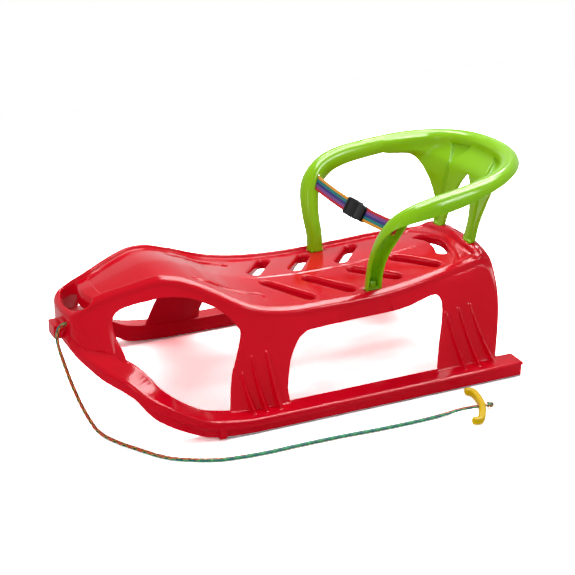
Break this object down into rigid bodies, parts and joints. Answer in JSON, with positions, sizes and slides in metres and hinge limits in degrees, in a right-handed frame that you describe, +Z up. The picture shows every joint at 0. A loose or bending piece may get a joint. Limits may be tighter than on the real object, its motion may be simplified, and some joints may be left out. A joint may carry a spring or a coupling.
{
  "type": "child's pull sled",
  "caption": "Moulded child's sled on steel-shod runners with a lift-off chair, lap belt with side-release buckle, and a pull rope with a handle.",
  "frame": {"origin": "on the ground under the middle of the sled and its chair, measured without the rope", "axes": "+X towards the nose, +Y to the rider's left, +Z up"},
  "size_m": [0.8755, 0.5985, 0.3719],
  "materials": {
    "red_plastic": "glossy moulded",
    "strip_steel": "plain rolled",
    "green_plastic": "satin moulded",
    "striped_webbing": "woven, with coloured stripes along it",
    "black_plastic": "satin moulded",
    "braided_rope": "braided from strands of several colours",
    "yellow_plastic": "satin moulded"
  },
  "bodies": {
    "sled": {"sled_body": "red_plastic", "runner_strip_left": "strip_steel", "runner_strip_right": "strip_steel", "pull_rope": "braided_rope", "rope_nose_knot": "braided_rope", "rope_end_knot": "braided_rope"},
    "chair": {"chair": "green_plastic", "belt_strap_left": "striped_webbing", "belt_strap_right": "striped_webbing", "buckle_socket": "black_plastic"},
    "buckle_plug": {"buckle_plug": "black_plastic"},
    "rope_handle": {"rope_handle": "yellow_plastic"}
  },
  "joints": [
    {"name": "chair_lift", "type": "slide", "parent": "sled", "child": "chair", "axis": [0, 0, 1], "range_m": [0, 0.04]},
    {"name": "buckle_release", "type": "slide", "parent": "chair", "child": "buckle_plug", "axis": [0, 1, 0], "range_m": [0, 0.03], "deforming": ["belt_strap_left"]},
    {"name": "handle_slide", "type": "slide", "parent": "sled", "child": "rope_handle", "axis": [0.9915, -0.1301, 0], "range_m": [0, 0.012]}
  ]
}
